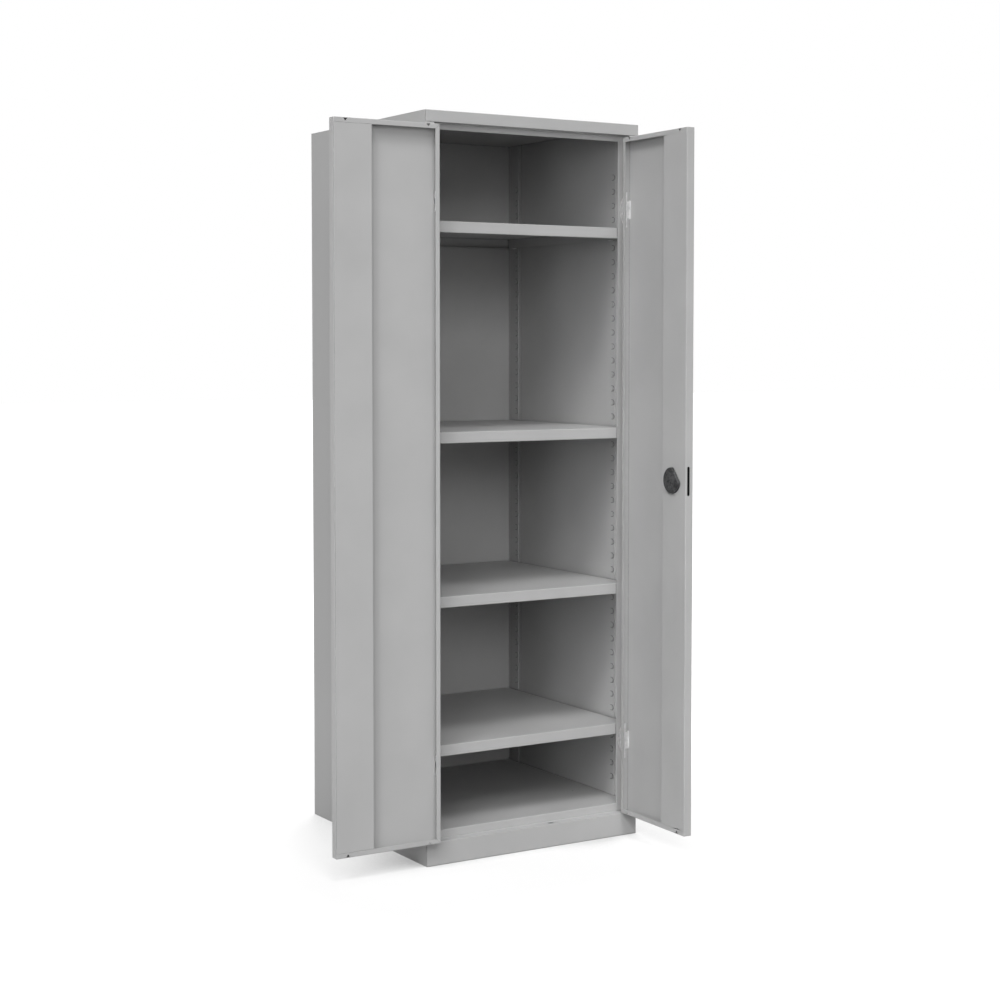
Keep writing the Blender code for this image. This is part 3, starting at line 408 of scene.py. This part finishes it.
def lock_cylinder():
    """Bright sleeve with a chamfered lip and the turning core with its key slot."""
    lip = 0.5 * MM
    top = GRIP_FACE + SLEEVE_PROUD
    low = GRIP_FACE - SLEEVE_DEPTH
    bore = PLUG_RADIUS + PLAY
    sleeve = new_piece(turned([
        (bore, low), (SLEEVE_RADIUS, low), (SLEEVE_RADIUS, top - lip), (SLEEVE_RADIUS - lip, top),
        (bore + lip, top), (bore, top - lip), (bore, low),
    ]), "cylinder_sleeve", LOCK_PLACE, "zinc_plated_steel")
    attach(sleeve, "handle")
    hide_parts("lock_sleeve")
    ease = 0.35 * MM
    core = new_piece(turned([
        (0, low), (PLUG_RADIUS, low), (PLUG_RADIUS, top - ease), (PLUG_RADIUS - ease, top), (0, top)
    ], 48), "cylinder_core", LOCK_PLACE, "zinc_plated_steel")
    half_width, half_length = KEY_SLOT_WIDTH / 2, KEY_SLOT_LENGTH / 2
    # the key's path: a straight slot with a step to one side, as a wafer lock's key needs
    step_to, step_low, step_high = half_width * 1.7, -half_length / 3, half_length / 4
    outline = [
        (-half_width, -half_length), (half_width, -half_length), (half_width, step_low),
        (step_to, step_low), (step_to, step_high), (half_width, step_high),
        (half_width, half_length), (-half_width, half_length),
    ]
    cut(core, slab(outline, top - KEY_SLOT_DEPTH, top + PLAY))
    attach(core, "plug")
    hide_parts("lock_plug")


def inner_cover():
    """Round cover over the lock on the door's inner face, moulded with one flat and a soft edge."""
    radius, height, flat, turn = 35 * MM, 8 * MM, 24 * MM, math.radians(40)
    steps = 120
    outline = []
    for step in range(steps):
        angle = 2 * math.pi * step / steps
        from_flat = math.cos(angle - turn)
        reach = radius if from_flat * radius <= flat else flat / from_flat
        outline.append((-reach * math.cos(angle), reach * math.sin(angle)))
    base = -DOOR_THICKNESS - PLAY
    cover = new_piece(slab(outline, base - height, base), "lock_cover", LOCK_PLACE, "dark_grey_plastic")
    soften(cover, 1.3 * MM, 5)
    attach(cover, "right_door")
    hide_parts("inner_lock_cover")


def latch_opening():
    """Black sheet behind the latch's slot in the free edge: painted shade, seen as a dark stripe from the
    front.
    """
    half_length, half_width, thickness = 43 * MM, 4.4 * MM, 2 * MM
    flange_from_lock, slot_depth = 57 * MM, 14.3 * MM
    outline = round_ended(half_width, half_length - half_width, 12)
    behind = Matrix.Translation((thickness + PLAY - flange_from_lock, 0, -slot_depth))
    place = LOCK_PLACE @ behind @ Matrix.Rotation(-math.pi / 2, 4, "Y")
    shade_sheet = new_piece(slab(outline, 0, thickness), "latch_slot_shade_sheet", place, "black_plastic")
    soften(shade_sheet, 0.5 * MM, 2)
    shade_sheet.data.materials[0] = SLOT_SHADE_SHEET
    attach(shade_sheet, "right_door")


def hinge_pins():
    """Headed pins with a domed top and a chamfered lower end."""
    radius, head, length, dome = 2.4 * MM, 3.6 * MM, 48 * MM, 2 * MM
    for side, word in ((-1, "left"), (1, "right")):
        for place, level in (("lower", 271 * MM), ("upper", 1762 * MM)):
            top = length / 2 + PLAY
            profile = [(0, -length / 2), (radius - PLAY, -length / 2)]
            profile += [(radius, -length / 2 + PLAY), (radius, top)]
            profile += [(head, top)] + rounded_corner(head, top + dome, 1.2 * MM, 4) + [(0, top + dome)]
            spot = Matrix.Translation((side * HINGE_LINE.x, HINGE_LINE.y, level))
            pin = new_piece(turned(profile, 32), f"{word}_{place}_pin", spot, "zinc_plated_steel")
            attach(pin, "carcass")
            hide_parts(f"{word}_{place}_hinge_pin")


# The seam between a side wall's upper edge and the deck
SEAM_AT, SEAM_LEVEL, SEAM_HALF_WIDTH, SEAM_HALF_HEIGHT = 339.5 * MM, 1998.85 * MM, 0.42 * MM, 0.17 * MM
SEAM_FRONT, SEAM_REAR = -8 * MM, 666 * MM


def seam_sealer():
    """The flat bead of sealer in the seam above each side wall, which keeps daylight out of the cabinet."""
    outline = [
        (SEAM_HALF_HEIGHT * math.cos(turn), SEAM_HALF_WIDTH * math.sin(turn))
        for turn in (math.radians(22.5 + 45 * step) for step in range(8))
    ]
    for side, word in ((-1, "left"), (1, "right")):
        place = Matrix.Translation((side * SEAM_AT, SEAM_FRONT, SEAM_LEVEL))
        place = place @ Matrix.Rotation(-math.pi / 2, 4, "X") @ Matrix.Rotation(math.pi / 2, 4, "Z")
        strip = slab(outline, 0, SEAM_REAR - SEAM_FRONT)
        bead = new_piece(strip, f"{word}_seam_sealer", place, "powder_coated_steel")
        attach(bead, "carcass")


# The shelf rails' inner face, the slots' centre lines and levels, and the slots that hold a shelf's clips
RAIL_FACE_AT = 335.2 * MM
# Each row's centre line and how far its tongues stand proud
SLOT_ROWS = {"front": (102 * MM, 2.4 * MM), "rear": (621 * MM, 1.6 * MM)}
SLOT_FIRST, SLOT_PITCH, SLOT_COUNT = 142 * MM, 40 * MM, 44
CLIPPED_SLOTS = (4, 14, 25, 39)
TONGUE_LENGTH, TONGUE_HALF, TONGUE_STEEL = 13.7 * MM, 6.6 * MM, 0.9 * MM
# How far behind the row's line a tongue is joined on, and where its rings lie from there to its tip
TONGUE_ROOT = 8 * MM
TONGUE_STATIONS = (0, 0.25, 0.5, 0.64, 0.76, 0.86, 0.93, 0.98, 1.0)


def tongue_into(bm, side, y, rise, level):
    """One half-round tongue, joined on at the rear and pressed proud of the rail towards its round front."""
    straight, tip_share, sunk = 0.5, 0.004, 0.05 * MM
    rear, inside = y + TONGUE_ROOT, RAIL_FACE_AT + TONGUE_STEEL
    rings = []
    for along in TONGUE_STATIONS:
        past = max(0, along - straight) / (1 - straight)
        half = TONGUE_HALF * math.sqrt(max(1 - past * past, tip_share))
        face = RAIL_FACE_AT - rise * (1 - math.cos(along * math.pi / 2)) + sunk
        place = rear - TONGUE_LENGTH * along
        rings.append([
            bm.verts.new((side * depth, place, level + up))
            for depth, up in ((face, -half), (face, half), (inside, half), (inside, -half))
        ])
    for first, second in zip(rings, rings[1:]):
        for corner in range(4):
            after = (corner + 1) % 4
            bm.faces.new((first[corner], first[after], second[after], second[corner]))
    bm.faces.new(rings[0])
    bm.faces.new(rings[-1])


def pressed_tongues():
    """The shelf rails' lanced tongues: each catches the light on its round front edge."""
    for side, word in ((-1, "left"), (1, "right")):
        for row, (y, rise) in SLOT_ROWS.items():
            bm = bmesh.new()
            for index in range(SLOT_COUNT):
                if index not in CLIPPED_SLOTS:
                    tongue_into(bm, side, y, rise, SLOT_FIRST + index * SLOT_PITCH)
            bmesh.ops.recalc_face_normals(bm, faces=bm.faces)
            name = f"{row}_{word}_rail_tongues"
            made = new_piece(bm, name, Matrix(), "powder_coated_steel", math.radians(40))
            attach(made, "carcass")


rosette()
turning_grip()
lock_cylinder()
inner_cover()
latch_opening()
hinge_pins()
seam_sealer()
pressed_tongues()


def seen_directly(tree):
    """1 for what the camera sees straight on, in a reflection or through glass, 0 for the light it gives."""
    ray = add(tree, "LightPath")
    seen = ray.outputs["Is Camera Ray"]
    for kind in ("Is Glossy Ray", "Is Transmission Ray"):
        seen = add(tree, "Math", {"operation": "MAXIMUM"}, {0: seen, 1: ray.outputs[kind]}).outputs["Value"]
    return seen


# Floor, backdrop and light
floor_mesh = bmesh.new()
bmesh.ops.create_grid(floor_mesh, x_segments=1, y_segments=1, size=40.0)
floor_data = bpy.data.meshes.new("floor")
floor_mesh.to_mesh(floor_data)
floor_mesh.free()
floor = bpy.data.objects.new("floor", floor_data)
bpy.context.scene.collection.objects.link(floor)


def studio_floor():
    """Pale matt floor that fades to white round the cabinet and keeps its soft shadow near the plinth.

    It glows only for what the camera sees; the glow is painted lower close by and where the cabinet closes in
    the floor, a painted shadow that goes out under the cabinet.
    """
    made, tree, shader, place = new_finish("pale studio floor")
    shader.inputs["Base Color"].default_value = linear("#8C8C8C")
    shader.inputs["Roughness"].default_value = 0.95
    shader.inputs["Specular IOR Level"].default_value = 0.0
    # painted shade: the glow is lower within 1.8 m of the cabinet's middle
    away = add(tree, "VectorMath", {"operation": "LENGTH"}, {0: place})
    lift = add(
        tree, "MapRange", {"From Min": 0.7, "From Max": 1.8, "To Min": 0.68, "To Max": 1.0},
        {"Value": away.outputs["Value"]}
    )
    matt = add(tree, "BsdfDiffuse", {"Color": linear("#9C9C9C")})
    # painted shadow: the glow dims where the cabinet closes in the floor within 35 cm, and goes out under it
    near = add(tree, "AmbientOcclusion", {"samples": 8, "Distance": 0.35})
    open_to_room = add(
        tree, "MapRange", {"From Min": 0.10, "From Max": 0.62, "To Min": 0.0, "To Max": 1.0},
        {"Value": near.outputs["AO"]}
    )
    glow_with_painted_shadow = add(
        tree, "Math", {"operation": "MULTIPLY"},
        {0: lift.outputs["Result"], 1: open_to_room.outputs["Result"]}
    )
    glow = add(tree, "Emission", links={"Strength": glow_with_painted_shadow.outputs["Value"]})
    pale = add(tree, "AddShader", links={0: matt.outputs["BSDF"], 1: glow.outputs["Emission"]})
    choice = add(
        tree, "MixShader",
        links={0: seen_directly(tree), 1: shader.outputs["BSDF"], 2: pale.outputs["Shader"]}
    )
    tree.links.new(choice.outputs["Shader"], tree.nodes["Material Output"].inputs["Surface"])
    return made


floor.data.materials.append(studio_floor())

camera_data = bpy.data.cameras.new("photo camera")
camera_data.lens = 68.33
camera_data.sensor_width = 36.0
camera_data.shift_y = -0.06
camera_data.clip_end = 60.0
camera = bpy.data.objects.new("photo camera", camera_data)
camera.location = (-2.782, -4.356, 1.383)
camera_dips, camera_turn = 0.0494, math.radians(31.558)
camera.rotation_euler = (math.pi / 2 - camera_dips, 0, -camera_turn)
bpy.context.scene.collection.objects.link(camera)
bpy.context.scene.camera = camera


# How wide the distant lamps look, in radians
DISTANT_SPREAD = 0.3


def area_light(name, place, target, size, power, mirrored=True):
    """A softbox; where mirrored is off, satin surfaces show the white room instead of the lamp itself."""
    data = bpy.data.lights.new(name, "AREA")
    data.shape = "RECTANGLE"
    data.size, data.size_y = size
    data.energy = power
    made = bpy.data.objects.new(name, data)
    made.location = place
    made.visible_glossy = mirrored
    made.rotation_euler = (Vector(target) - Vector(place)).to_track_quat("-Z", "Y").to_euler()
    bpy.context.scene.collection.objects.link(made)
    return made


def distant_light(name, turn, height, power):
    """A far, wide lamp, whose level is the same from the plinth to the cap.

    It stands turned left from straight in front of the cabinet and raised, both in degrees.
    """
    turn, height = math.radians(turn), math.radians(height)
    along = Vector((-math.sin(turn) * math.cos(height), -math.cos(turn) * math.cos(height), math.sin(height)))
    direction = 10 * along
    data = bpy.data.lights.new(name, "SUN")
    data.energy = power
    data.angle = DISTANT_SPREAD
    made = bpy.data.objects.new(name, data)
    made.location = direction
    made.rotation_euler = (-direction).to_track_quat("-Z", "Y").to_euler()
    bpy.context.scene.collection.objects.link(made)


def gridded_light(name, place, target, size, power, spread):
    """A softbox with a honeycomb grid, which keeps its light on the open right door."""
    area_light(name, place, target, size, power).data.spread = spread


area_light("camera softbox", (-2.6, -4.2, 2.6), (0, 0, 1.0), (2.0, 2.0), 47)
area_light("high left softbox", (-3.6, 0.2, 4.4), (-0.2, 0.3, 1.6), (2.0, 2.0), 13)
area_light("rear softbox", (2.4, 4.2, 2.4), (0, 0.3, 1.0), (2.4, 2.4), 150, mirrored=False)
area_light("right softbox", (4.8, 0.9, 2.2), (0, 0, 1.0), (2.4, 2.4), 110, mirrored=False)
gridded_light("near door softbox", (-3.2, -2.3, 1.1), (0.31, -0.17, 1.0), (0.8, 2.2), 1.05, math.radians(25))
gridded_light("side door softbox", (-3.9, -1.1, 1.1), (0.31, -0.20, 1.0), (0.6, 2.2), 0.6, math.radians(20))
distant_light("steep front light", 20, 60, 0.93)
distant_light("main left light", 60, 45, 1.0)
distant_light("half left light", 45, 33, 0.56)
distant_light("low front light", 10, 15, 0.34)
distant_light("front light", 6, 42, 0.28)

world = bpy.data.worlds.new("studio")
bpy.context.scene.world = world
world.use_nodes = True
world_tree = world.node_tree
background = world_tree.nodes["Background"]
background.inputs["Color"].default_value = (1, 1, 1, 1)
bpy.context.scene.view_settings.view_transform = "Standard"
# the room is white to look at, but gives little light of its own
level = add(world_tree, "MapRange", {"To Min": 0.1, "To Max": 1.0}, {"Value": seen_directly(world_tree)})
world_tree.links.new(level.outputs["Result"], background.inputs["Strength"])
